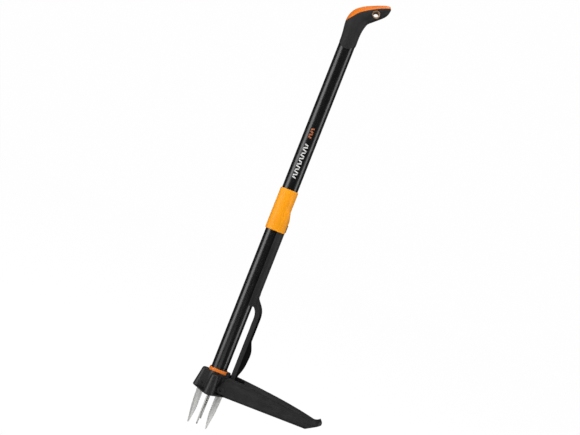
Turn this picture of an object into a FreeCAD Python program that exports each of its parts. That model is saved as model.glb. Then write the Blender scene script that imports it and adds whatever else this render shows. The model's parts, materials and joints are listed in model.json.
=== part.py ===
import FreeCAD, Part
import math
import os

# Stand up weeder. Millimetres, +Z up along the tube, origin on the tube's axis at the
# underside of the head. +X points towards the pedal's toe. BEYOND reaches past every face of
# the part that a cut has to clear.

V = FreeCAD.Vector
Y_AXIS = V(0, 1, 0)
Z_AXIS = V(0, 0, 1)
BEYOND = 40.0
QUARTER_TURNS = (0, 90, 180, 270)

# Tube
TUBE_R = 18.0
TUBE_WALL = 1.2
TUBE_BOTTOM = 24.0
TUBE_TOP = 852.0
SWAGE_R = 16.3
SWAGE_START = 812.0
SWAGE_LENGTH = 5.0

# Motion: the pedal tilts, the sleeve rises and the claws close in constant ratios
TILT_MAX = math.radians(26.0)
RISE_PER_RADIAN = 25.0
CLOSE_PER_TILT = 0.4
RISE_MAX = RISE_PER_RADIAN * TILT_MAX

# Head
COLLAR_LOW = 47.9
COLLAR_HIGH = 54.2
COLLAR_DROP = 3.4
LOBE_TOP = 44.1
BASE_PLATE = 3.0
BASE_PLATE_ROUND = 2.0
CORE_R = 20.5
CAVITY_R = 14.5
LOBE_TOP_HALF = 8.6
LOBE_TOP_CENTRE = 25.6
LOBE_ROUND = 3.5
LOBE_BOTTOM_HALF = 12.0
LOBE_BOTTOM_CENTRE = 29.7
HINGE_LOBE_END = 31.0
HINGE_LOBE_TOP = 38.0
HINGE_LOBE_ROUND = 4.0
RIDGE_END = 28.2
RIDGE_HALF = 8.0
RIDGE_TOP = 50.5
RIDGE_ROUND = 3.0
PIVOT_R = 22.0
PIVOT_Z = 14.0
PIN_R = 3.0
PIN_FIT = 0.08
CLAW_PIN_HALF = 9.4
HINGE_PIN_HALF = 17.6
HINGE_PIN_ROUND = 0.6
SLOT_HALF = 1.8
SLOT_START = 11.6
SLOT_END = 30.4
COLLAR_R = 20.9
COLLAR_ROUND = 1.5
BASE_SCREW_R = 1.5
BASE_SCREW_HEAD_R = 3.0
BASE_SCREW_LENGTH = 14.0
BASE_SCREW_CIRCLE_R = 0.85 * CORE_R
CROSSHEAD_R = 12.5
CROSSHEAD_BOTTOM = 9.0
CROSSHEAD_TOP = 38.0
CROSSHEAD_WALL = 2.7

# Claws: the blade's width at fractions of its length, as inner and outer radii
BLADE_T = 2.8
BLADE_TIP_Z = -81.0
SHORT_TIP_Z = -71.0
TIP_INNER = 20.2
TIP_OUTER = 22.0
EYE_R = 6.5
TAIL_BELOW = 4.0
TAIL_ABOVE = 5.0
TAIL_WALL = 2.4
INNER_EDGE = [(0, 14.6), (0.54, 14.6), (0.65, 15.3), (0.75, 16.6), (0.88, 18.2), (0.97, 19.6)]
OUTER_EDGE = [(0, 29.4), (0.12, 29.4), (0.25, 29.0), (0.5, 27.7), (0.62, 26.5), (0.75, 25.0), (0.88, 23.4),
              (0.97, 22.6)]
TOOTH_PITCH = 5.0
TOOTH_DEPTH = 0.9
TOOTHED_SHARE = 0.9
DRIVE_R = 9.0
DRIVE_PIN_R = 1.8
DRIVE_PIN_HALF = 6.0
SLIDE_GAP = 0.4

# Pedal: side outline as (x, z) points
PEDAL_HALF = 20.0
TOE_HALF = 17.5
TOE_CORNER = 12.0
CHEEK_T = 3.5
DECK_T = 3.0
BEAD = 1.5
BEAD_TOP_H = 5.0
BEAD_BOTTOM_H = 2.2
HINGE_BOSS_R = 8.5
BUSH_FLANGE_R = 5.2
BUSH_R = 4.4
PEDAL_TOP = [(30, 46.3), (60, 44.5), (100, 41.8), (150, 37.4), (200, 31.1), (214, 28.8), (229, 26.0)]
PEDAL_TROUGH = (236, 25.8)
PEDAL_LIP = (245.5, 32.2)
PEDAL_END_X = 250.5
PEDAL_END_TOP = 28.0
PEDAL_END_LOW = 25.2
PEDAL_HEEL = (220.5, 7.0)
PEDAL_FRONT = (36, 2.7)
PEDAL_ROOT = (24.5, 39.5)
OPENING_END = 66.0
HOLLOW_END = 236.0
RIB_PLACES = (94, 124, 154, 184, 210)
RIB_T = 2.0
RIB_BOTTOM = 8.0
GUIDE_START = 39.0
GUIDE_END = 58.0
GUIDE_BOTTOM = 6.0
GUIDE_TOP = 26.0
GUIDE_INNER = 11.5
PEDAL_HINGE = V(PIVOT_R, 0, PIVOT_Z)

# Sleeve and arm: outlines as (x, z) points
SLEEVE_BOTTOM = 376.5
SLEEVE_TOP = 470.5
SLEEVE_R = 20.4
SLEEVE_ROUND = 1.4
SLIDE_R = 18.4
FLANK_TOP = 426.0
FLANK_SLOPE = 404.0
BAR_X = 25.0
BAR_EDGE_X = 9.5
BAR_EDGE_Y = 17.5
BAR_BOTTOM = 206.0
BAR_FIT = 0.3
CROSS_PIN_Z = 445.0
ROD_R = 4.0
ROD_BOTTOM = 33.0
ROD_END = 457.0
GUIDE_BUSH_Z = 150.0
GUIDE_BUSH_H = 16.0
GUIDE_BUSH_FLOOR = 4.0
GUIDE_BUSH_WALL = 3.0
GLIDE_HALF = 10.0
ARM_PIN = V(47.0, 0, PIVOT_Z)
ARM_PIN_HALF = 17.4
ARM_BOSS_R = 7.0
ARM_BOSS_HALF = 11.0
ARM_HALF = 8.0
WEB_HALF = 2.5
ARM_CURVE = [(BAR_X, 227), (28.4, 218.5), (31.8, 212.5), (35.2, 206.3), (37.6, 199.5), (39.2, 191),
             (40, 180)]
ARM_FOOT = [(40, 44), (43, 38), (50, 25.5), (53.5, 14), (50, 7.5), (40, 7.5), (33, 28), (33, 44), (30.4, 52),
            (30.4, 160)]
ARM_INNER = [(30.4, 160), (30.1, 184), (27.8, 196), (23.8, 203), (SLIDE_R + 0.4, 208)]
ARM_JOIN = 236.0
WEB_CURVE = [(BAR_X, 227), (30.0, 220), (34.9, 214), (38.9, 208), (41.8, 202), (43.6, 195.5), (44.8, 182)]
WEB_BULGE = [(44.8, 132), (49.0, 121), (52.1, 112), (53.3, 103), (53.2, 97), (52.7, 90), (51.7, 80),
             (50.1, 70), (47.0, 60), (44, 50)]
WEB_BACK = [(41, 44), (35, 44), (35, 180), (22, 210)]
TONGUE_HALF = 5.0
TONGUE_TOP = 402.0
LATCH_HALF = 3.5
LATCH_LOW = 380.0
LATCH_HIGH = 396.5
LATCH_REACH = 1.2
LATCH_ROUND = 0.8
RING_H = 5.0
RING_PLACES = (412.0, 462.5)

# Handle: sections as (upper x, upper z, lower x, lower z, half width)
GRIP_BASE = 796.0
RIM_SIDE_Z = 813.0
RIM_FRONT_Z = 798.0
SECTIONS = [
    (-18.7, GRIP_BASE, 18.7, GRIP_BASE, 18.7),
    (-18.8, 812, 18.8, 812, 18.7),
    (-19.1, 826, 18.9, 826, 18.5),
    (-20.8, 842, 19.2, 842, 18.1),
    (-22.4, 858, 21.4, 857, 17.7),
    (-20.5, 873.5, 25.9, 869.2, 17.0),
    (-13.8, 887.3, 32.0, 874.9, 16.2),
    (-2.8, 897.3, 39.2, 881.2, 15.2),
    (10, 904.7, 46.5, 887.5, 14.2),
    (24, 911.0, 52.6, 893.2, 13.0),
    (38, 916.6, 57.6, 899.6, 11.6),
    (50, 920.2, 60.6, 907.0, 9.0),
    (57.8, 920.6, 61.7, 914.2, 5.0),
]
BORDER = [(-30, 850), (-20.5, 859.5), (-16.6, 863), (-12.6, 867), (-8.6, 871.6), (-4.6, 876.4),
          (0.4, 881.6), (7.2, 887), (15.4, 892.3), (24.7, 897.8), (36, 904.4), (48.5, 910.4),
          (56, 913.6), (70, 918)]
SPINE = [(-11, 852), (11, 852), (14, 866), (24, 877), (35, 892), (44, 900), (44, 914), (20, 904), (0, 889),
         (-11, 874)]
SPINE_HALF = 8.0
HOLE_X = 35.1
HOLE_Z = 892.5
HOLE_R = 6.2
EYELET_R = 9.2
EYELET_HALF = 9.5
EYELET_ROUND = 0.8
SECTION_POINTS = 16
SCREW_Z = 836.0
SCREW_R = 2.0
SCREW_HEAD_R = 3.6
SCREW_HEAD_X = -18.3
SCREW_SEAT_X = -16.3
SCREW_TIP_X = -2.0


def rod_z(radius, low, high):
    return Part.makeCylinder(radius, high - low, V(0, 0, low), Z_AXIS)


def ring_z(outer, inner, low, high):
    return rod_z(outer, low, high).cut(rod_z(inner, low - 1, high + 1))


def rod_between(start, end, radius):
    return Part.makeCylinder(radius, (end - start).Length, start, end - start)


def box(low, high):
    size = V(*high) - V(*low)
    return Part.makeBox(size.x, size.y, size.z, V(*low))


def fuse(shapes):
    return shapes[0].fuse(shapes[1:]).removeSplitter()


def turned(shape, degrees):
    copy = shape.copy()
    copy.rotate(V(0, 0, 0), Z_AXIS, degrees)
    return copy


def line(start, end):
    return Part.LineSegment(start, end).toShape()


def arc(start, middle, end):
    return Part.Arc(start, middle, end).toShape()


def xz(x, z):
    return V(x, 0, z)


def spline(points):
    """A smooth edge through (x, z) points of the XZ plane."""
    curve = Part.BSplineCurve()
    curve.interpolate([xz(*point) for point in points])
    return curve.toShape()


def between(stations, place):
    """The value at a place in a list of (place, value) stations."""
    for (start, first), (end, last) in zip(stations, stations[1:]):
        if place <= end:
            return first + (last - first) * (place - start) / (end - start)
    return stations[-1][1]


def plate_y(edges, half):
    """A plate of the closed outline, drawn in the XZ plane, from -half to +half in Y."""
    face = Part.Face(Part.Wire(edges))
    face.translate(V(0, -half, 0))
    return face.extrude(V(0, 2 * half, 0))


def path_edges(points):
    """Straight edges from each (x, z) point to the next."""
    return [line(xz(*a), xz(*b)) for a, b in zip(points, points[1:])]


def polygon_edges(points):
    return path_edges(points + points[:1])


def curved_slot(path, half_width, half):
    """A round-ended plate along the arc through three points of the XZ plane."""
    start, middle, end = path
    centre = arc(start, middle, end).Curve.Center
    across = [(point - centre).normalize() for point in path]
    outer = [point + side * half_width for point, side in zip(path, across)]
    inner = [point - side * half_width for point, side in zip(path, across)]
    along = Y_AXIS.cross(across[0])
    if along.dot(middle - start) < 0:
        along = -along
    start_cap = start - along * half_width
    along = Y_AXIS.cross(across[2])
    if along.dot(end - middle) < 0:
        along = -along
    end_cap = end + along * half_width
    edges = [arc(*outer), arc(outer[2], end_cap, inner[2])]
    edges += [arc(*reversed(inner)), arc(inner[0], start_cap, outer[0])]
    return plate_y(edges, half)


def seen_from_turning(point, pivot, rise, angle):
    """Where a point that rises lies in a frame that turns about the pivot, anticlockwise
    by the angle in the XZ plane."""
    offset = point + V(0, 0, rise) - pivot
    x = offset.x * math.cos(angle) + offset.z * math.sin(angle)
    z = offset.z * math.cos(angle) - offset.x * math.sin(angle)
    return pivot + V(x, 0, z)


def guide_path(point, pivot, turn_per_tilt):
    stops = [0.0, TILT_MAX / 2, TILT_MAX]
    return [seen_from_turning(point, pivot, RISE_PER_RADIAN * t, turn_per_tilt * t) for t in stops]


# ---- Head ----

def lobe_outline(half, centre, z):
    points = [V(0, -half, z), V(centre, -half, z), V(centre + half, 0, z), V(centre, half, z), V(0, half, z)]
    edges = [line(points[0], points[1]), arc(points[1], points[2], points[3])]
    edges += [line(points[3], points[4]), line(points[4], points[0])]
    return Part.Wire(edges)


def lobe():
    """A rounded nose that widens towards the ground, along +X."""
    bottom = lobe_outline(LOBE_BOTTOM_HALF, LOBE_BOTTOM_CENTRE, BASE_PLATE)
    top = lobe_outline(LOBE_TOP_HALF, LOBE_TOP_CENTRE, LOBE_TOP)
    solid = Part.makeLoft([bottom, top], True, True)
    top_face = max(solid.Faces, key=lambda face: face.CenterOfMass.z)
    return solid.makeFillet(LOBE_ROUND, top_face.Edges[1:2])


def hinge_lobe():
    """The short square nose between the pedal's cheeks, along +X."""
    solid = box((0, -LOBE_BOTTOM_HALF, BASE_PLATE), (HINGE_LOBE_END, LOBE_BOTTOM_HALF, HINGE_LOBE_TOP))
    corners = [e for e in solid.Edges if e.CenterOfMass.x > HINGE_LOBE_END - 1]
    return solid.makeFillet(HINGE_LOBE_ROUND, corners)


def ridge_block():
    """The raised ridge that carries on up the tube from the short nose."""
    return box((0, -RIDGE_HALF, HINGE_LOBE_TOP - 6), (RIDGE_END, RIDGE_HALF, RIDGE_TOP))


def ridge():
    solid = ridge_block()
    corners = [e for e in solid.Edges if e.CenterOfMass.x > RIDGE_END - 1]
    return solid.makeFillet(RIDGE_ROUND, corners)


def claw_slots():
    slot = box((0, -SLOT_HALF, -1), (SLOT_END, SLOT_HALF, TUBE_BOTTOM))
    return [turned(slot, angle) for angle in QUARTER_TURNS]


def pivot_pin(half_length):
    """A pin across the +X nose, at the claw's pivot."""
    return rod_between(V(PIVOT_R, -half_length, PIVOT_Z), V(PIVOT_R, half_length, PIVOT_Z), PIN_R)


def screw_places():
    reach = BASE_SCREW_CIRCLE_R * math.sqrt(0.5)
    return [V(x, y, 0) for x in (-reach, reach) for y in (-reach, reach)]


def head_housing():
    lobes = [turned(lobe(), angle) for angle in (90, 180, 270)]
    core = rod_z(CORE_R, BASE_PLATE, COLLAR_LOW + 1).cut(above_arch(COLLAR_LOW))
    solid = fuse([core, hinge_lobe(), ridge()] + lobes)
    cuts = [rod_z(CAVITY_R, 0, TUBE_BOTTOM + 1), rod_z(TUBE_R, TUBE_BOTTOM, RIDGE_TOP + 1)]
    cuts += claw_slots()
    cuts += [turned(pivot_pin(PEDAL_HALF * 2), angle) for angle in (0, 90, 180)]
    cuts += [turned(pivot_pin(LOBE_BOTTOM_HALF + 2), 270)]
    cuts += [screw_shank(place) for place in screw_places()]
    return solid.cut(cuts)


def base_outline(radius, centre):
    """A diamond with round points on the four axes, drawn at Z = 0."""
    edges = []
    corners = []
    reach = math.sqrt(0.5) * radius
    for angle in QUARTER_TURNS:
        turn = FreeCAD.Rotation(Z_AXIS, angle)
        start = turn.multVec(V(centre + reach, -reach, 0))
        tip = turn.multVec(V(centre + radius, 0, 0))
        end = turn.multVec(V(centre + reach, reach, 0))
        corners.append((start, tip, end))
    for index, (start, tip, end) in enumerate(corners):
        following = corners[(index + 1) % 4][0]
        edges += [arc(start, tip, end), line(end, following)]
    return Part.Wire(edges)


def screw_shank(place):
    return Part.makeCylinder(BASE_SCREW_R, BASE_SCREW_LENGTH, place + V(0, 0, 1), Z_AXIS)


def screw_head(place):
    return Part.makeCone(BASE_SCREW_HEAD_R, BASE_SCREW_R, BASE_SCREW_R, place, Z_AXIS)


def head_base_plate():
    plate = Part.Face(base_outline(LOBE_BOTTOM_HALF, LOBE_BOTTOM_CENTRE)).extrude(V(0, 0, BASE_PLATE))
    rim = [e for e in plate.Edges if abs(e.CenterOfMass.z) < 0.01]
    plate = plate.makeFillet(BASE_PLATE_ROUND, rim)
    slot = box((SLOT_START, -SLOT_HALF, -1), (SLOT_END, SLOT_HALF, BASE_PLATE + 1))
    cuts = [turned(slot, angle) for angle in QUARTER_TURNS]
    for place in screw_places():
        cuts += [screw_shank(place), screw_head(place)]
    return plate.cut(cuts)


def head_screws():
    return Part.makeCompound([fuse([screw_shank(place), screw_head(place)]) for place in screw_places()])


def above_arch(height):
    """The space over a low arch that spans the head along X and runs through it along Y."""
    reach = COLLAR_R + 1
    left = (-reach, height - COLLAR_DROP)
    right = (reach, height - COLLAR_DROP)
    edges = [arc(xz(*left), xz(0, height), xz(*right))]
    edges += path_edges([right, (reach, height + BEYOND), (-reach, height + BEYOND), left])
    return plate_y(edges, reach)


def head_collar():
    """The ring on top of the head, a little lower at its sides, open where the ridge passes."""
    ring = ring_z(COLLAR_R, TUBE_R, COLLAR_LOW - 10, COLLAR_HIGH + 1)
    band = ring.common(above_arch(COLLAR_LOW)).cut(above_arch(COLLAR_HIGH))
    rims = [e for e in band.Edges if e.Length > 2 * math.pi * TUBE_R + 1]
    top = [e for e in rims if e.BoundBox.ZMax > COLLAR_HIGH - 1]
    return band.makeFillet(COLLAR_ROUND, top).cut(ridge_block())


def claw_pivot_pins():
    pin = pivot_pin(CLAW_PIN_HALF)
    return Part.makeCompound([turned(pin, angle) for angle in (90, 180, 270)])


def pedal_hinge_pin():
    pin = pivot_pin(HINGE_PIN_HALF)
    rims = [e for e in pin.Edges if abs(e.CenterOfMass.y) > HINGE_PIN_HALF - 1]
    return pin.makeFillet(HINGE_PIN_ROUND, rims)


# ---- Tube and rod ----

def swaged_rod(radius, neck, low, high):
    """A round bar that narrows to its neck at the tube's swage."""
    cone = Part.makeCone(radius, neck, SWAGE_LENGTH, V(0, 0, SWAGE_START), Z_AXIS)
    return fuse([rod_z(radius, low, SWAGE_START), cone, rod_z(neck, SWAGE_START + SWAGE_LENGTH, high)])


def shaft_tube():
    outer = swaged_rod(TUBE_R, SWAGE_R, TUBE_BOTTOM, TUBE_TOP)
    inner = swaged_rod(TUBE_R - TUBE_WALL, SWAGE_R - TUBE_WALL, TUBE_BOTTOM - 1, TUBE_TOP + 1)
    half = PIN_R + SLIDE_GAP
    highest = CROSS_PIN_Z + RISE_MAX
    slot = box((-BEYOND, -half, CROSS_PIN_Z), (BEYOND, half, highest))
    ends = [rod_between(V(-BEYOND, 0, z), V(BEYOND, 0, z), half) for z in (CROSS_PIN_Z, highest)]
    return outer.cut([inner, fuse([slot] + ends), handle_screw_shank()])


def rod_guide():
    """A cup shaped bush that keeps the rod on the tube's axis."""
    bore = TUBE_R - TUBE_WALL
    top = GUIDE_BUSH_Z + GUIDE_BUSH_H
    bush = ring_z(bore, ROD_R + PIN_FIT, GUIDE_BUSH_Z, top)
    floor = GUIDE_BUSH_Z + GUIDE_BUSH_FLOOR
    relief = ring_z(bore - GUIDE_BUSH_WALL, ROD_R + GUIDE_BUSH_WALL, floor, top + 1)
    return bush.cut(relief)


def actuator_rod():
    return rod_z(ROD_R, ROD_BOTTOM, ROD_END).cut(sleeve_cross_pin())


def rod_glide():
    bore = TUBE_R - TUBE_WALL
    glide = ring_z(bore - SLIDE_GAP, ROD_R, CROSS_PIN_Z - GLIDE_HALF, CROSS_PIN_Z + GLIDE_HALF)
    return glide.cut(sleeve_cross_pin())


def sleeve_cross_pin():
    return rod_between(V(-SLEEVE_R + 0.2, 0, CROSS_PIN_Z), V(SLEEVE_R - 0.2, 0, CROSS_PIN_Z), PIN_R)


def drive_pin():
    start = V(DRIVE_R, -DRIVE_PIN_HALF, PIVOT_Z)
    return rod_between(start, V(DRIVE_R, DRIVE_PIN_HALF, PIVOT_Z), DRIVE_PIN_R)


def drive_pins():
    return Part.makeCompound([turned(drive_pin(), angle) for angle in QUARTER_TURNS])


def crosshead():
    """A round block with four radial slots, one for the tail of each claw."""
    block = rod_z(CROSSHEAD_R, CROSSHEAD_BOTTOM, CROSSHEAD_TOP)
    slot = box((CROSSHEAD_WALL, -SLOT_HALF, 0), (CORE_R, SLOT_HALF, ROD_BOTTOM - 1))
    cuts = [rod_z(ROD_R, ROD_BOTTOM, CROSSHEAD_TOP + 1)]
    for angle in QUARTER_TURNS:
        cuts += [turned(slot, angle), turned(drive_pin(), angle)]
    return block.cut(cuts)


# ---- Claws ----

def blade_edges(tip_z):
    """The blade below its pivot, with saw teeth along the inner edge."""
    top = PIVOT_Z - 2
    teeth = int(TOOTHED_SHARE * -tip_z / TOOTH_PITCH) - 1
    inner = [(INNER_EDGE[0][1], top)]
    for tooth in range(teeth):
        z = -TOOTH_PITCH * (tooth + 1.5)
        x = between(INNER_EDGE, z / tip_z)
        inner += [(x, z), (x + TOOTH_DEPTH, z - TOOTH_PITCH * 0.75)]
    inner += [(between(INNER_EDGE, 1), tip_z * INNER_EDGE[-1][0]), (TIP_INNER, tip_z), (TIP_OUTER, tip_z)]
    outer = [(x, tip_z * place) for place, x in reversed(OUTER_EDGE)]
    return polygon_edges(inner + outer + [(OUTER_EDGE[0][1], top)])


def claw(tip_z):
    """The claw on the +X side: blade, pivot eye and a tail with the cam slot."""
    half = BLADE_T / 2
    path = guide_path(xz(DRIVE_R, PIVOT_Z), PEDAL_HINGE, -CLOSE_PER_TILT)
    blade = plate_y(blade_edges(tip_z), half)
    eye = rod_between(V(PIVOT_R, -half, PIVOT_Z), V(PIVOT_R, half, PIVOT_Z), EYE_R)
    tail = box((DRIVE_R, -half, PIVOT_Z - TAIL_BELOW), (PIVOT_R, half, PIVOT_Z + TAIL_ABOVE))
    around_slot = curved_slot(path, DRIVE_PIN_R + TAIL_WALL, half)
    solid = fuse([blade, eye, tail, around_slot])
    hole = rod_between(V(PIVOT_R, -5, PIVOT_Z), V(PIVOT_R, 5, PIVOT_Z), PIN_R + PIN_FIT)
    return solid.cut([hole, curved_slot(path, DRIVE_PIN_R + SLIDE_GAP, 5)])


# ---- Sleeve and arm ----

def bar_section(low, high, grow):
    """A crescent on the tube's +X side, with its outer face at BAR_X and its edges at BAR_EDGE_X."""
    centre = (BAR_X ** 2 - BAR_EDGE_X ** 2 - BAR_EDGE_Y ** 2) / (2 * (BAR_X - BAR_EDGE_X))
    outer = Part.makeCylinder(BAR_X - centre + grow, high - low, V(centre, 0, low), Z_AXIS)
    clip = box((BAR_EDGE_X - grow, -BEYOND, low), (BEYOND, BEYOND, high))
    return outer.common(clip).cut(rod_z(SLIDE_R, low - 1, high + 1))


def arm_plate():
    """The thick bar beside the tube, from the crescent down to its foot in the pedal."""
    top = [ARM_INNER[-1], (SLIDE_R + 0.4, ARM_JOIN), (BAR_X, ARM_JOIN), ARM_CURVE[0]]
    edges = [spline(ARM_CURVE)] + path_edges([ARM_CURVE[-1]] + ARM_FOOT)
    edges += [spline(ARM_INNER)] + path_edges(top)
    return plate_y(edges, ARM_HALF)


def arm_web():
    """The thin web along the bar's outer edge, with its finger bulge."""
    edges = [spline(WEB_CURVE), line(xz(*WEB_CURVE[-1]), xz(*WEB_BULGE[0])), spline(WEB_BULGE)]
    edges += path_edges([WEB_BULGE[-1]] + WEB_BACK + [WEB_CURVE[0]])
    return plate_y(edges, WEB_HALF)


def tongue():
    return box((SLIDE_R + 0.6, -TONGUE_HALF, SLEEVE_BOTTOM - 2), (BAR_X - 1.5, TONGUE_HALF, TONGUE_TOP))


def link_arm():
    bar = bar_section(BAR_BOTTOM, SLEEVE_BOTTOM, 0)
    latch = box((BAR_X - 3, -LATCH_HALF, LATCH_LOW), (BAR_X + LATCH_REACH, LATCH_HALF, LATCH_HIGH))
    latch = latch.makeFillet(LATCH_ROUND, [e for e in latch.Edges if e.CenterOfMass.x > BAR_X + 1])
    boss = rod_between(ARM_PIN - Y_AXIS * ARM_BOSS_HALF, ARM_PIN + Y_AXIS * ARM_BOSS_HALF, ARM_BOSS_R)
    return fuse([bar, tongue(), latch, arm_plate(), arm_web(), boss]).cut(arm_pin())


def ejector_sleeve():
    shell = rod_z(SLEEVE_R, SLEEVE_BOTTOM, SLEEVE_TOP)
    shell = shell.makeFillet(SLEEVE_ROUND, [e for e in shell.Edges if e.Length > 100])
    flank = bar_section(SLEEVE_BOTTOM, FLANK_TOP - 1, BAR_FIT)
    slope = [(BAR_X + BAR_FIT, FLANK_SLOPE), (BAR_X + 2, FLANK_SLOPE)]
    slope += [(BAR_X + 2, FLANK_TOP), (SLEEVE_R - 1, FLANK_TOP)]
    flank = flank.cut(plate_y(polygon_edges(slope), BEYOND))
    solid = fuse([shell, flank]).cut(rod_z(SLIDE_R, SLEEVE_BOTTOM - 1, SLEEVE_TOP + 1))
    pocket = box((SLIDE_R - 1, -TONGUE_HALF, SLEEVE_BOTTOM - 1), (BAR_X - 1.5, TONGUE_HALF, TONGUE_TOP))
    window = box((BAR_X - 3, -LATCH_HALF, LATCH_LOW), (BAR_X + 3, LATCH_HALF, LATCH_HIGH))
    return solid.cut([pocket, window, sleeve_cross_pin()])


def glide_rings():
    """Thin felt rings in the sleeve's bore, above and below the cross pin."""
    rings = [ring_z(SLIDE_R, TUBE_R + 0.05, z, z + RING_H) for z in RING_PLACES]
    return Part.makeCompound(rings)


def arm_pin():
    return rod_between(ARM_PIN - Y_AXIS * ARM_PIN_HALF, ARM_PIN + Y_AXIS * ARM_PIN_HALF, PIN_R)


# ---- Pedal ----

def pedal_edges(inset):
    """The pedal's side outline, with its top and its end shrunk by inset."""
    top = [(x, z - inset) for x, z in PEDAL_TOP]
    lip = (PEDAL_LIP[0], PEDAL_LIP[1] - inset)
    trough = (PEDAL_TROUGH[0], PEDAL_TROUGH[1] - inset)
    end_low = (PEDAL_END_X - inset, PEDAL_END_LOW)
    end_top = (PEDAL_END_X - inset, PEDAL_END_TOP)
    root = (PEDAL_ROOT[0], PEDAL_ROOT[1] - inset)
    rear_top = (PIVOT_R - HINGE_BOSS_R + 0.6, PIVOT_Z + 3.2)
    rear = xz(PIVOT_R - HINGE_BOSS_R, PIVOT_Z)
    under_hinge = (PIVOT_R, PIVOT_Z - HINGE_BOSS_R)
    edges = path_edges([under_hinge, (PEDAL_FRONT[0] - 4, under_hinge[1]), PEDAL_FRONT, PEDAL_HEEL])
    edges += path_edges([PEDAL_HEEL, end_low, end_top, lip])
    edges += [arc(xz(*lip), xz(*trough), xz(*top[-1])), spline(top)]
    edges += path_edges([top[0], root, rear_top])
    edges += [arc(xz(*rear_top), rear, xz(*under_hinge))]
    return edges


def plan(half_root, half_toe, end_x):
    """The pedal's plan outline as a tall block, with a rounded toe."""
    start = [(0, -half_root), (70, -half_root), (end_x - TOE_CORNER, -half_toe)]
    round_end = V(end_x, -half_toe + TOE_CORNER, -5)
    bulge = TOE_CORNER * (1 - math.sqrt(0.5))
    round_middle = V(end_x - bulge, -half_toe + bulge, -5)
    lower = [V(x, y, -5) for x, y in start]
    upper = [V(point.x, -point.y, -5) for point in lower]
    edges = [line(lower[0], lower[1]), line(lower[1], lower[2])]
    edges += [arc(lower[2], round_middle, round_end)]
    edges += [line(round_end, V(end_x, -round_end.y, -5))]
    edges += [arc(V(end_x, -round_end.y, -5), V(round_middle.x, -round_middle.y, -5), upper[2])]
    edges += [line(upper[2], upper[1]), line(upper[1], upper[0]), line(upper[0], lower[0])]
    return Part.Face(Part.Wire(edges)).extrude(V(0, 0, 70))


def moved_z(shape, distance):
    copy = shape.copy()
    copy.translate(V(0, 0, distance))
    return copy


def pedal_outside():
    """The pedal as a solid block, with a bead along its top and bottom edges."""
    full = plate_y(pedal_edges(0), BEYOND)
    body = full.common(plan(PEDAL_HALF - BEAD, TOE_HALF - BEAD, PEDAL_END_X))
    wide = full.common(plan(PEDAL_HALF, TOE_HALF, PEDAL_END_X))
    behind = box((0, -BEYOND, -10), (PEDAL_ROOT[0] + 2.5, BEYOND, PEDAL_ROOT[1] - 3))
    top_bead = wide.cut([moved_z(full, -BEAD_TOP_H), behind])
    ends = [box((0, -BEYOND, -10), (PEDAL_FRONT[0], BEYOND, 60))]
    ends += [box((PEDAL_HEEL[0], -BEYOND, -10), (PEDAL_END_X + 1, BEYOND, 60))]
    bottom_bead = wide.cut([moved_z(full, BEAD_BOTTOM_H)] + ends)
    boss = rod_between(V(PIVOT_R, -PEDAL_HALF, PIVOT_Z), V(PIVOT_R, PEDAL_HALF, PIVOT_Z), HINGE_BOSS_R)
    return body, fuse([body, top_bead, bottom_bead, boss])


def pedal_hollow():
    """The space under the deck and the opening that the arm passes through."""
    inside = PEDAL_HALF - CHEEK_T
    hollow = plate_y(pedal_edges(DECK_T), BEYOND).common(plan(inside, TOE_HALF - CHEEK_T, HOLLOW_END))
    hollow = hollow.cut(box((OPENING_END - DECK_T, -BEYOND, 0), (OPENING_END, BEYOND, 60)))
    opening = box((0, -inside, 0), (OPENING_END - DECK_T, inside, 60))
    return [hollow, moved_z(hollow, -DECK_T), opening]


def foot_pedal():
    body, outside = pedal_outside()
    shell = outside.cut(pedal_hollow())
    ribs = [box((x, -BEYOND, RIB_BOTTOM), (x + RIB_T, BEYOND, 60)).common(body) for x in RIB_PLACES]
    cheek = PEDAL_HALF - CHEEK_T + 0.5
    ribs += [box((GUIDE_START, GUIDE_INNER, GUIDE_BOTTOM), (GUIDE_END, cheek, GUIDE_TOP))]
    ribs += [box((GUIDE_START, -cheek, GUIDE_BOTTOM), (GUIDE_END, -GUIDE_INNER, GUIDE_TOP))]
    slot = curved_slot(guide_path(ARM_PIN, PEDAL_HINGE, 1.0), PIN_R + SLIDE_GAP, ARM_PIN_HALF + 0.5)
    return fuse([shell] + ribs).cut([slot, pivot_pin(BEYOND), hinge_bush(1), hinge_bush(-1)])


def hinge_bush(side):
    """A flanged bush in one cheek, running on the hinge pin."""
    inner = V(PIVOT_R, side * (LOBE_BOTTOM_HALF + 0.5), PIVOT_Z)
    cheek = V(PIVOT_R, side * (PEDAL_HALF - CHEEK_T), PIVOT_Z)
    outer = V(PIVOT_R, side * (PEDAL_HALF - 2), PIVOT_Z)
    body = fuse([rod_between(inner, cheek, BUSH_FLANGE_R), rod_between(cheek, outer, BUSH_R)])
    return body.cut(rod_between(V(PIVOT_R, -BEYOND, PIVOT_Z), V(PIVOT_R, BEYOND, PIVOT_Z), PIN_R + PIN_FIT))


def hinge_bushes():
    return Part.makeCompound([hinge_bush(-1), hinge_bush(1)])


# ---- Handle ----

def handle_section(upper, lower, half_y):
    """A rounded section whose ends are the upper and lower points of the XZ outline."""
    centre = (upper + lower) * 0.5
    reach = (upper - lower) * 0.5
    points = []
    for index in range(SECTION_POINTS):
        angle = 2 * math.pi * index / SECTION_POINTS
        points.append(centre + reach * math.cos(angle) + Y_AXIS * half_y * math.sin(angle))
    curve = Part.BSplineCurve()
    curve.interpolate(points, PeriodicFlag=True)
    return Part.Wire(curve.toShape())


def handle_body():
    wires = [handle_section(xz(*place[0:2]), xz(*place[2:4]), place[4]) for place in SECTIONS]
    return Part.makeLoft(wires, True, False)


def above_border():
    """The space over the cap's lower edge."""
    left = BORDER[0]
    right = BORDER[-1]
    return plate_y([spline(BORDER)] + path_edges([right, (right[0], 960), (left[0], 960), left]), BEYOND)


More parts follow.
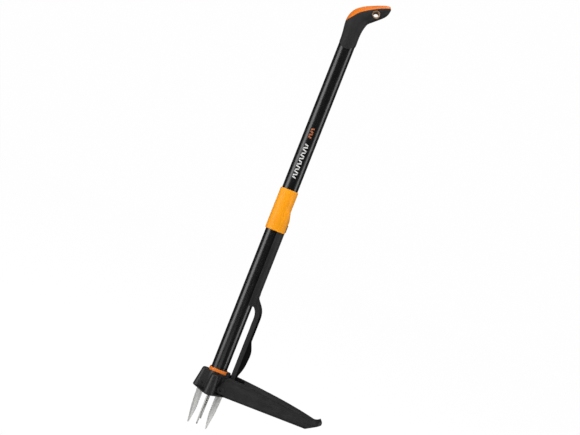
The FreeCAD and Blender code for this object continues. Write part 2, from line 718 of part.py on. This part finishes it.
def eyelet(radius, half):
    return rod_between(V(HOLE_X, -half, HOLE_Z), V(HOLE_X, half, HOLE_Z), radius)


def hang_eyelet():
    """The round grommet that lines the hang hole."""
    grommet = eyelet(EYELET_R, EYELET_HALF)
    rims = [e for e in grommet.Edges if abs(e.CenterOfMass.y) > EYELET_HALF - 1]
    return grommet.makeFillet(EYELET_ROUND, rims).cut(eyelet(HOLE_R, EYELET_HALF + 1))


def handle_screw_shank():
    return rod_between(V(SCREW_SEAT_X - 0.7, 0, SCREW_Z), V(SCREW_TIP_X, 0, SCREW_Z), SCREW_R)


def handle_screw():
    head = rod_between(V(SCREW_HEAD_X, 0, SCREW_Z), V(SCREW_SEAT_X, 0, SCREW_Z), SCREW_HEAD_R)
    return fuse([head, handle_screw_shank()])


def tube_plug():
    return rod_z(SWAGE_R - TUBE_WALL, SWAGE_START + 10, TUBE_TOP + 2)


def handle_spine():
    """The flat rib inside the handle that joins plug, cap and eyelet."""
    return plate_y(polygon_edges(SPINE), SPINE_HALF)


def handle_core():
    body = handle_body()
    cap = body.common(above_border())
    solid = cap.fuse(handle_spine().common(body)).fuse(tube_plug())
    return solid.cut(eyelet(EYELET_R, BEYOND)).cut(handle_screw())


def skirt_cut():
    """The arched lower rim: lower at the front and rear, higher at the sides."""
    edge = TUBE_R - 1
    below = GRIP_BASE - 8
    outside = [(-BEYOND, RIM_SIDE_Z), (-BEYOND, below), (BEYOND, below), (BEYOND, RIM_SIDE_Z)]
    edges = path_edges([(-edge, RIM_SIDE_Z)] + outside + [(edge, RIM_SIDE_Z)])
    edges += [arc(xz(edge, RIM_SIDE_Z), xz(0, RIM_FRONT_Z), xz(-edge, RIM_SIDE_Z))]
    return plate_y(edges, BEYOND)


def handle_grip():
    solid = handle_body().cut(skirt_cut()).cut(above_border())
    solid = solid.cut(swaged_rod(TUBE_R, SWAGE_R, GRIP_BASE - 10, TUBE_TOP))
    solid = solid.cut(eyelet(EYELET_R, BEYOND)).cut(handle_spine()).cut(tube_plug())
    screw_well = rod_between(V(-BEYOND, 0, SCREW_Z), V(SCREW_HEAD_X, 0, SCREW_Z), SCREW_HEAD_R)
    return solid.cut(handle_screw()).cut(screw_well)


NODES = {
    "shaft_tube": shaft_tube,
    "handle_core": handle_core,
    "handle_grip": handle_grip,
    "hang_eyelet": hang_eyelet,
    "handle_screw": handle_screw,
    "head_housing": head_housing,
    "head_base_plate": head_base_plate,
    "head_screws": head_screws,
    "head_collar": head_collar,
    "claw_pivot_pins": claw_pivot_pins,
    "pedal_hinge_pin": pedal_hinge_pin,
    "rod_guide": rod_guide,
    "ejector_sleeve": ejector_sleeve,
    "link_arm": link_arm,
    "sleeve_cross_pin": sleeve_cross_pin,
    "actuator_rod": actuator_rod,
    "rod_glide": rod_glide,
    "crosshead": crosshead,
    "drive_pins": drive_pins,
    "arm_pin": arm_pin,
    "glide_rings": glide_rings,
    "foot_pedal": foot_pedal,
    "hinge_bushes": hinge_bushes,
    "claw_right": lambda: claw(BLADE_TIP_Z),
    "claw_left": lambda: turned(claw(BLADE_TIP_Z), 180),
    "claw_front": lambda: turned(claw(SHORT_TIP_Z), 270),
    "claw_rear": lambda: turned(claw(SHORT_TIP_Z), 90),
}


def main():
    os.makedirs("parts", exist_ok=True)
    for name, make in NODES.items():
        shape = make()
        shape.exportStep("parts/" + name + ".step")
        print(name, "solids", len(shape.Solids), "valid", shape.isValid(), "volume", round(shape.Volume))


main()
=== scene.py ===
import json
import math
import bmesh
import bpy
from mathutils import Matrix, Vector


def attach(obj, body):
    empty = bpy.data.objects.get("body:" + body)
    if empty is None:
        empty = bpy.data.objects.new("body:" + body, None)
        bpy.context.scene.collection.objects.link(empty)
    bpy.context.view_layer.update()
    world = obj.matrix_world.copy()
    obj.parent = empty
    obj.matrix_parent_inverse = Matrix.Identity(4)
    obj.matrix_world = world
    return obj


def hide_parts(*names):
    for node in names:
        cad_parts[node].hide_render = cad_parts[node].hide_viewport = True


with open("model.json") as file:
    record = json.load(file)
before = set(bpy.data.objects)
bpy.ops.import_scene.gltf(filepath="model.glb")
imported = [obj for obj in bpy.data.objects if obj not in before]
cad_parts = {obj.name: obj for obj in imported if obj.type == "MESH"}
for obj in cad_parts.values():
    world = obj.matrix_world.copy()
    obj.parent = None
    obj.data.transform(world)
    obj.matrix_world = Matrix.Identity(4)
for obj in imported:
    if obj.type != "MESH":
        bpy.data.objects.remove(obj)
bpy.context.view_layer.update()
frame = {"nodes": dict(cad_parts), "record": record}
NODES = frame["nodes"]
BODIES = frame["record"]["behaviour"]["bodies"]
BODY_OF = {node: body for body, nodes in BODIES.items() for node in nodes}
MM = 0.001

# ---- Camera: level with the middle of the tube, rolled so that the tool leans to the right ----
AIM = Vector((0.0228, 0, 0.415))
DISTANCE = 1.5
AZIMUTH = math.radians(4.0)
LEAN = math.radians(21.58)
VIEW_WIDTH = 1.264
SENSOR = 36.0


def make_camera():
    data = bpy.data.cameras.new("camera")
    data.sensor_width = SENSOR
    data.lens = SENSOR * DISTANCE / VIEW_WIDTH
    camera = bpy.data.objects.new("camera", data)
    bpy.context.collection.objects.link(camera)
    back = Vector((math.sin(AZIMUTH), -math.cos(AZIMUTH), 0))
    level_right = Vector((math.cos(AZIMUTH), math.sin(AZIMUTH), 0))
    up = Vector((0, 0, 1)) * math.cos(LEAN) - level_right * math.sin(LEAN)
    right = level_right * math.cos(LEAN) + Vector((0, 0, 1)) * math.sin(LEAN)
    turn = Matrix((right, up, back)).transposed().to_4x4()
    camera.matrix_world = Matrix.Translation(AIM + back * DISTANCE) @ turn
    bpy.context.scene.camera = camera


# ---- Materials ----

# the link arm's web begins this far along X, and its painted shade and duller finish fade in over
# the blend
WEB_START = 0.0402
WEB_BLEND = 0.0008


class Shader:
    """A Principled material with its texture nodes, in metres of the object's own space."""

    def __init__(self, name, roughness, metallic=0.0, coat=0.0, coat_roughness=0.1, specular=0.5):
        self.material = bpy.data.materials.new(name)
        self.material.use_nodes = True
        self.nodes = self.material.node_tree.nodes
        self.links = self.material.node_tree.links
        self.surface = self.nodes["Principled BSDF"]
        self.surface.inputs["Roughness"].default_value = roughness
        self.surface.inputs["Metallic"].default_value = metallic
        self.surface.inputs["Coat Weight"].default_value = coat
        self.surface.inputs["Coat Roughness"].default_value = coat_roughness
        self.surface.inputs["Specular IOR Level"].default_value = specular
        self.space = self.nodes.new("ShaderNodeTexCoord").outputs["Object"]

    def stretched(self, scale):
        mapping = self.nodes.new("ShaderNodeMapping")
        mapping.inputs["Scale"].default_value = scale
        self.links.new(self.space, mapping.inputs["Vector"])
        return mapping.outputs["Vector"]

    def noise(self, size, detail=4.0, stretch=(1, 1, 1)):
        """A noise whose grains are about size metres across."""
        node = self.nodes.new("ShaderNodeTexNoise")
        node.inputs["Scale"].default_value = 1 / size
        node.inputs["Detail"].default_value = detail
        self.links.new(self.stretched(stretch), node.inputs["Vector"])
        return node.outputs["Fac"]

    def cells(self, size):
        node = self.nodes.new("ShaderNodeTexVoronoi")
        node.inputs["Scale"].default_value = 1 / size
        self.links.new(self.space, node.inputs["Vector"])
        return node.outputs["Distance"]

    def ramp(self, value, stops):
        node = self.nodes.new("ShaderNodeValToRGB")
        ramp = node.color_ramp
        while len(ramp.elements) < len(stops):
            ramp.elements.new(0.5)
        for element, (place, colour) in zip(ramp.elements, stops):
            element.position = place
            element.color = (*colour, 1)
        self.links.new(value, node.inputs["Fac"])
        return node.outputs["Color"]

    def spread(self, value, low, high, start=0.3, end=0.7):
        node = self.nodes.new("ShaderNodeMapRange")
        node.inputs["From Min"].default_value = start
        node.inputs["From Max"].default_value = end
        node.inputs["To Min"].default_value = low
        node.inputs["To Max"].default_value = high
        self.links.new(value, node.inputs["Value"])
        return node.outputs["Result"]

    def mix(self, factor, first, second):
        node = self.nodes.new("ShaderNodeMix")
        node.data_type = "RGBA"
        self.links.new(factor, node.inputs[0])
        for value, socket in ((first, node.inputs[6]), (second, node.inputs[7])):
            if isinstance(value, tuple):
                socket.default_value = (*value, 1)
            else:
                self.links.new(value, socket)
        return node.outputs[2]

    def colour(self, output):
        self.links.new(output, self.surface.inputs["Base Color"])

    def roughness(self, output):
        self.links.new(output, self.surface.inputs["Roughness"])

    def bump(self, heights):
        """Adds bumps, each a (height output, depth in metres) pair."""
        normal = None
        for height, depth in heights:
            node = self.nodes.new("ShaderNodeBump")
            node.inputs["Distance"].default_value = depth
            self.links.new(height, node.inputs["Height"])
            if normal is not None:
                self.links.new(normal, node.inputs["Normal"])
            normal = node.outputs["Normal"]
        self.links.new(normal, self.surface.inputs["Normal"])


def shade(colour, factor):
    return tuple(channel * factor for channel in colour)


def plastic(name, colour, roughness, grain=0.0006, depth=0.00002, wear=0.12):
    """Moulded plastic: a fine spark texture, faint mottling and slightly polished patches."""
    shader = Shader(name, roughness)
    mottling = shader.noise(0.03, 5)
    dull = shade(colour, 1 - wear)
    bright = shade(colour, 1 + wear)
    shader.colour(shader.ramp(mottling, [(0.3, dull), (0.7, bright)]))
    shader.roughness(shader.spread(shader.noise(0.012, 6), roughness - 0.07, roughness + 0.07))
    shader.bump([(shader.noise(grain, 3), depth), (shader.noise(0.008, 2), depth * 2)])
    return shader


def tube_paint():
    """Black powder coat: smooth gloss with orange peel, faint dust and fine lengthwise scuffs."""
    shader = Shader("tube_paint", 0.3, coat=0.25, coat_roughness=0.18, specular=0.5)
    scuffs = shader.noise(0.0012, 6, stretch=(1, 1, 0.04))
    dust = shader.noise(0.02, 8)
    base = shader.ramp(dust, [(0.3, (0.0035, 0.0035, 0.0037)), (0.75, (0.006, 0.006, 0.0063))])
    worn = shader.ramp(scuffs, [(0.66, (0, 0, 0)), (0.8, (1, 1, 1))])
    shader.colour(shader.mix(worn, base, (0.018, 0.018, 0.019)))
    shader.roughness(shader.spread(scuffs, 0.24, 0.36))
    shader.bump([(shader.noise(0.0022, 2), 0.000012), (scuffs, 0.000006)])
    return shader


def grip_rubber():
    """Soft touch elastomer: matte, fine pebbled, with a faint sheen and paler dusty patches."""
    shader = Shader("grip_rubber", 0.62, specular=0.3)
    shader.surface.inputs["Sheen Weight"].default_value = 0.03
    shader.surface.inputs["Sheen Roughness"].default_value = 0.5
    dust = shader.noise(0.018, 6)
    clean = (0.013, 0.013, 0.0135)
    dusty = (0.019, 0.019, 0.0195)
    shader.colour(shader.ramp(dust, [(0.3, clean), (0.7, dusty)]))
    shader.roughness(shader.spread(shader.noise(0.006, 5), 0.55, 0.7))
    shader.bump([(shader.cells(0.0007), 0.00003), (shader.noise(0.004, 3), 0.00003)])
    return shader


def arm_plastic(colour, roughness, web_painted_shade, web_roughness):
    """The link arm: spark textured on its bar, dull on the web beside it, with painted shade
    darkening the web.
    """
    shader = plastic("arm_plastic", colour, roughness, wear=0.2)
    split = shader.nodes.new("ShaderNodeSeparateXYZ")
    shader.links.new(shader.space, split.inputs["Vector"])
    web = shader.spread(split.outputs["X"], 0.0, 1.0, start=WEB_START, end=WEB_START + WEB_BLEND)
    grained = shader.surface.inputs["Base Color"].links[0].from_socket
    # painted shade: the web gets a much darker colour that stands for the shade in its recess
    shader.colour(shader.mix(web, grained, web_painted_shade))
    shader.roughness(shader.spread(web, roughness, web_roughness, start=0, end=1))
    shader.surface.inputs["Specular IOR Level"].default_value = 0.15
    return shader


def orange_plastic(name, colour, roughness):
    """Orange plastic, even in colour and softly lit from within."""
    shader = plastic(name, colour, roughness, grain=0.0009, depth=0.00001, wear=0.04)
    shader.surface.inputs["Subsurface Weight"].default_value = 0.08
    shader.surface.inputs["Subsurface Radius"].default_value = (0.004, 0.0015, 0.0005)
    shader.surface.inputs["Specular IOR Level"].default_value = 0.3
    return shader


def steel(name, dark, light, roughness, stretch):
    """Brushed steel: fine lines along the part, soft cloudy stains and varying polish."""
    shader = Shader(name, roughness, metallic=1.0)
    lines = shader.noise(0.0009, 8, stretch=stretch)
    clouds = shader.noise(0.015, 4)
    streaks = shader.ramp(lines, [(0.3, dark), (0.7, light)])
    stained = shader.ramp(clouds, [(0.45, (0, 0, 0)), (0.8, (0.25, 0.25, 0.25))])
    shader.colour(shader.mix(stained, streaks, shade(dark, 0.7)))
    shader.roughness(shader.spread(lines, roughness - 0.08, roughness + 0.1))
    shader.bump([(lines, 0.00001)])
    return shader


def felt():
    shader = Shader("felt", 0.95)
    shader.surface.inputs["Sheen Weight"].default_value = 0.5
    fibres = shader.noise(0.0008, 8)
    shader.colour(shader.ramp(fibres, [(0.3, (0.05, 0.05, 0.05)), (0.7, (0.16, 0.16, 0.16))]))
    shader.bump([(fibres, 0.0002)])
    return shader


def ink(name, colour):
    """Screen print: a thin opaque ink, slightly uneven."""
    shader = Shader(name, 0.45)
    shader.colour(shader.ramp(shader.noise(0.002, 6), [(0.3, shade(colour, 0.85)), (0.7, colour)]))
    shader.bump([(shader.noise(0.0006, 3), 0.00001)])
    return shader


def make_materials():
    made = {
        "tube_paint": tube_paint(),
        "grip_rubber": grip_rubber(),
        "orange_plastic": orange_plastic("orange_plastic", (0.76, 0.185, 0.016), 0.4),
        "sleeve_plastic": orange_plastic("sleeve_plastic", (0.98, 0.36, 0.006), 0.5),
        "eyelet_plastic": plastic("eyelet_plastic", (0.38, 0.25, 0.155), 0.45, wear=0.1),
        "black_plastic": plastic("black_plastic", (0.0098, 0.0098, 0.0102), 0.5, wear=0.2),
        # the second colour is painted shade on the link arm's web, not the plastic's own tone
        "arm_plastic": arm_plastic((0.023, 0.023, 0.0235), 0.5, (0.002, 0.002, 0.0021), 0.6),
        "white_plastic": plastic("white_plastic", (0.60, 0.59, 0.55), 0.4, wear=0.05),
        "zinc_steel": steel("zinc_steel", (0.38, 0.39, 0.42), (0.62, 0.63, 0.66), 0.35,
                            stretch=(1, 1, 0.1)),
        "pin_steel": steel("pin_steel", (0.035, 0.035, 0.037), (0.09, 0.09, 0.092), 0.5,
                           stretch=(1, 0.1, 1)),
        "stainless_steel": steel("stainless_steel", (0.52, 0.52, 0.51), (0.78, 0.78, 0.76), 0.33,
                                 stretch=(1, 1, 0.06)),
        "felt": felt(),
    }
    return {slot: shader.material for slot, shader in made.items()}


def finish_nodes(materials):
    for part in frame["record"]["subparts"]:
        data = NODES[part["node"]].data
        data.materials.clear()
        data.materials.append(materials[part["material_slot"]])


# ---- Pieces that stand for CAD nodes ----

SLOT_OF = {part["node"]: part["material_slot"] for part in frame["record"]["subparts"]}
# a node whose look is not its slot's own: the link arm's web carries painted shade
FINISH_OF = {"link_arm": "arm_plastic"}
# edge radius of each moulded or ground node, in mm
ROUNDING = {
    "head_housing": 1.2, "head_base_plate": 0.5, "foot_pedal": 0.8, "link_arm": 1.5,
    "handle_core": 0.7, "handle_grip": 0.7, "ejector_sleeve": 0.5, "head_collar": 0.4,
    "hang_eyelet": 0.3, "claw_right": 0.3, "claw_left": 0.3, "claw_front": 0.3, "claw_rear": 0.3,
}
ROUND_STEPS = 3
ROUND_FROM = math.radians(32)
FLAT_WITHIN = math.radians(1.0)
WELD = 0.00001
SHARP_FROM = math.radians(40)


def moulded(node, radius, materials):
    """A copy of the node with its sharp edges rounded."""
    source = NODES[node]
    mesh = source.data.copy()
    piece = bpy.data.objects.new(node + "_rounded", mesh)
    bpy.context.collection.objects.link(piece)
    work = bmesh.new()
    work.from_mesh(mesh)
    bmesh.ops.remove_doubles(work, verts=work.verts, dist=WELD)
    bmesh.ops.dissolve_limit(work, angle_limit=FLAT_WITHIN, verts=work.verts, edges=work.edges)
    work.to_mesh(mesh)
    work.free()
    bevel = piece.modifiers.new("rounding", "BEVEL")
    bevel.width = radius
    bevel.segments = ROUND_STEPS
    bevel.limit_method = "ANGLE"
    bevel.angle_limit = ROUND_FROM
    bevel.use_clamp_overlap = True
    bevel.harden_normals = False
    apply_modifiers(piece)
    piece.data.shade_smooth()
    piece.data.set_sharp_from_angle(angle=SHARP_FROM)
    adopt(piece, node, materials)


def apply_modifiers(piece):
    bpy.context.view_layer.update()
    graph = bpy.context.evaluated_depsgraph_get()
    shaped = bpy.data.meshes.new_from_object(piece.evaluated_get(graph))
    piece.modifiers.clear()
    piece.data = shaped


def adopt(piece, node, materials):
    piece.data.materials.clear()
    piece.data.materials.append(materials[FINISH_OF.get(node, SLOT_OF[node])])
    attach(piece, BODY_OF[node])
    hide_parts(node)


# ---- Marking on the tube: plain bars printed on its front ----

PRINT_RADIUS = 18.0
PRINT_DEPTH = 0.06
PRINT_STEPS = 10
WHITE_BARS = 13
WHITE_START = 497.5
WHITE_PITCH = 6.2
WHITE_HEIGHT = 2.9
WHITE_HALVES = (3.9, 4.8, 4.8)
WHITE_SLANTS = (-0.3, 0.34)
ORANGE_BARS = 4
ORANGE_START = 590
ORANGE_PITCH = 6.0
ORANGE_HEIGHT = 3.6
ORANGE_HALF = 3.6
ORANGE_SLANTS = (-0.3, 0.3)


def printed_bar(name, low, height, half_width, slant, material):
    """A thin slanted bar of ink that follows the tube's round front."""
    mesh = bpy.data.meshes.new(name)
    work = bmesh.new()
    rows = []
    for index in range(PRINT_STEPS + 1):
        across = half_width * (2 * index / PRINT_STEPS - 1)
        angle = across / PRINT_RADIUS
        row = []
        for radius in (PRINT_RADIUS - PRINT_DEPTH, PRINT_RADIUS + PRINT_DEPTH):
            x = radius * math.sin(angle)
            y = -radius * math.cos(angle)
            for z in (low + slant * across, low + height + slant * across):
                row.append(work.verts.new((x * MM, y * MM, z * MM)))
        rows.append(row)
    for first, second in zip(rows, rows[1:]):
        for a, b in ((2, 3), (1, 0), (0, 2), (3, 1)):
            work.faces.new((first[a], second[a], second[b], first[b]))
    for row in (rows[0], rows[-1]):
        work.faces.new((row[0], row[1], row[3], row[2]))
    bmesh.ops.recalc_face_normals(work, faces=work.faces)
    work.to_mesh(mesh)
    work.free()
    mesh.materials.append(material)
    piece = bpy.data.objects.new(name, mesh)
    bpy.context.collection.objects.link(piece)
    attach(piece, "shaft")


def make_marking():
    white = ink("white_ink", (0.74, 0.74, 0.73)).material
    orange = ink("orange_ink", (0.42, 0.13, 0.05)).material
    for index in range(WHITE_BARS):
        low = WHITE_START + WHITE_PITCH * index
        printed_bar("mark_white_%02d" % index, low, WHITE_HEIGHT, WHITE_HALVES[index % 3],
                    WHITE_SLANTS[index % 2], white)
    for index in range(ORANGE_BARS):
        low = ORANGE_START + ORANGE_PITCH * index
        printed_bar("mark_orange_%d" % index, low, ORANGE_HEIGHT, ORANGE_HALF,
                    ORANGE_SLANTS[index % 2], orange)


# ---- Studio ----

MIDDLE = (0, 0, 0.42)
CLAWS = (0, 0, -0.04)
WORLD_GREY = 0.035
# name, place, aim, size, watts
SOFTBOXES = [
    ("left_softbox", (-1.5, -0.9, 0.5), MIDDLE, (1.1, 1.8), 24),
    ("right_softbox", (1.5, -0.22, 0.5), MIDDLE, (0.6, 1.8), 11),
    ("top_softbox", (0.3, -0.6, 2.4), MIDDLE, (1.4, 1.4), 26),
    ("back_softbox", (0.3, 1.6, 2.2), MIDDLE, (1.4, 1.4), 6),
]
# lights the front without a highlight of its own on the tube
FRONT_FILL = ("front_fill", (0.2, -2.2, 0.5), MIDDLE, (0.9, 1.6), 21)
CLAW_SOFTBOX = ("claw_softbox", (-0.05, -1.5, -0.72), CLAWS, (1.1, 1.0), 4.2)
FLOOR_Z = -0.1
FLOOR_R = 5.9
DOME_Z = 0.4
DOME_R = 6.0


def area_light(name, place, aim, size, power):
    data = bpy.data.lights.new(name, "AREA")
    data.shape = "RECTANGLE"
    data.size, data.size_y = size
    data.energy = power
    light = bpy.data.objects.new(name, data)
    bpy.context.collection.objects.link(light)
    light.location = place
    light.rotation_mode = "QUATERNION"
    light.rotation_quaternion = (Vector(aim) - Vector(place)).to_track_quat("-Z", "Y")
    return light


def make_studio():
    scene = bpy.context.scene
    scene.view_settings.view_transform = "Standard"
    world = bpy.data.worlds.new("studio")
    world.use_nodes = True
    background = world.node_tree.nodes["Background"]
    background.inputs["Color"].default_value = (WORLD_GREY, WORLD_GREY, WORLD_GREY, 1)
    scene.world = world
    for softbox in SOFTBOXES:
        area_light(*softbox)
    fill = area_light(*FRONT_FILL)
    fill.visible_glossy = False
    area_light(*CLAW_SOFTBOX)
    make_backdrop()


def white_glow(name):
    material = bpy.data.materials.new(name)
    material.use_nodes = True
    surface = material.node_tree.nodes["Principled BSDF"]
    surface.inputs["Base Color"].default_value = (0.02, 0.02, 0.02, 1)
    surface.inputs["Roughness"].default_value = 1.0
    surface.inputs["Specular IOR Level"].default_value = 0.0
    surface.inputs["Emission Color"].default_value = (1, 1, 1, 1)
    surface.inputs["Emission Strength"].default_value = 0.99
    return material


def make_backdrop():
    """A pale floor under the claws and a pale dome round the set. Neither lights the tool."""
    bpy.ops.mesh.primitive_circle_add(vertices=96, radius=FLOOR_R, fill_type="TRIFAN",
                                      location=(0, 0, FLOOR_Z))
    floor = bpy.context.object
    floor.name = "floor"
    bpy.ops.mesh.primitive_uv_sphere_add(segments=64, ring_count=32, radius=DOME_R,
                                         location=(0, 0, DOME_Z))
    dome = bpy.context.object
    dome.name = "backdrop"
    for piece in (floor, dome):
        piece.data.materials.append(white_glow(piece.name))
        piece.visible_glossy = False
        piece.visible_diffuse = False
        piece.visible_shadow = False


make_camera()
MATERIALS = make_materials()
finish_nodes(MATERIALS)
make_studio()
for name, radius in ROUNDING.items():
    moulded(name, radius * MM, MATERIALS)
make_marking()
